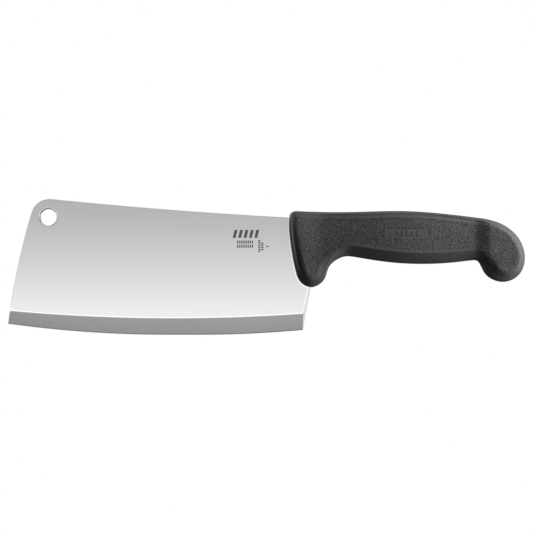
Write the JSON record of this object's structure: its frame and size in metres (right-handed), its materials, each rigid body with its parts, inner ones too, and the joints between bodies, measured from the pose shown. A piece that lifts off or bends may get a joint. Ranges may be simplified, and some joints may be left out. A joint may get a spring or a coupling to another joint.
{
  "type": "meat cleaver",
  "caption": "Meat cleaver: a wide ground steel blade with a bellied edge, a hanging hole and a hidden tang, in a moulded plastic handle with a guard and a hooked pommel.",
  "frame": {"origin": "below the middle of the overall length, in the blade's middle plane, at the height of the lowest point of the cutting edge", "axes": "+X from the blade's front edge to the handle's end, +Z from the cutting edge up to the spine, Y across the thickness"},
  "size_m": [0.297, 0.0194, 0.0781],
  "materials": {
    "steel": "satin side faces, coarser ground bevels",
    "plastic": "pebbled side panels, fine satin rim"
  },
  "bodies": {
    "root": {"blade": "steel", "handle": "plastic"}
  },
  "joints": []
}
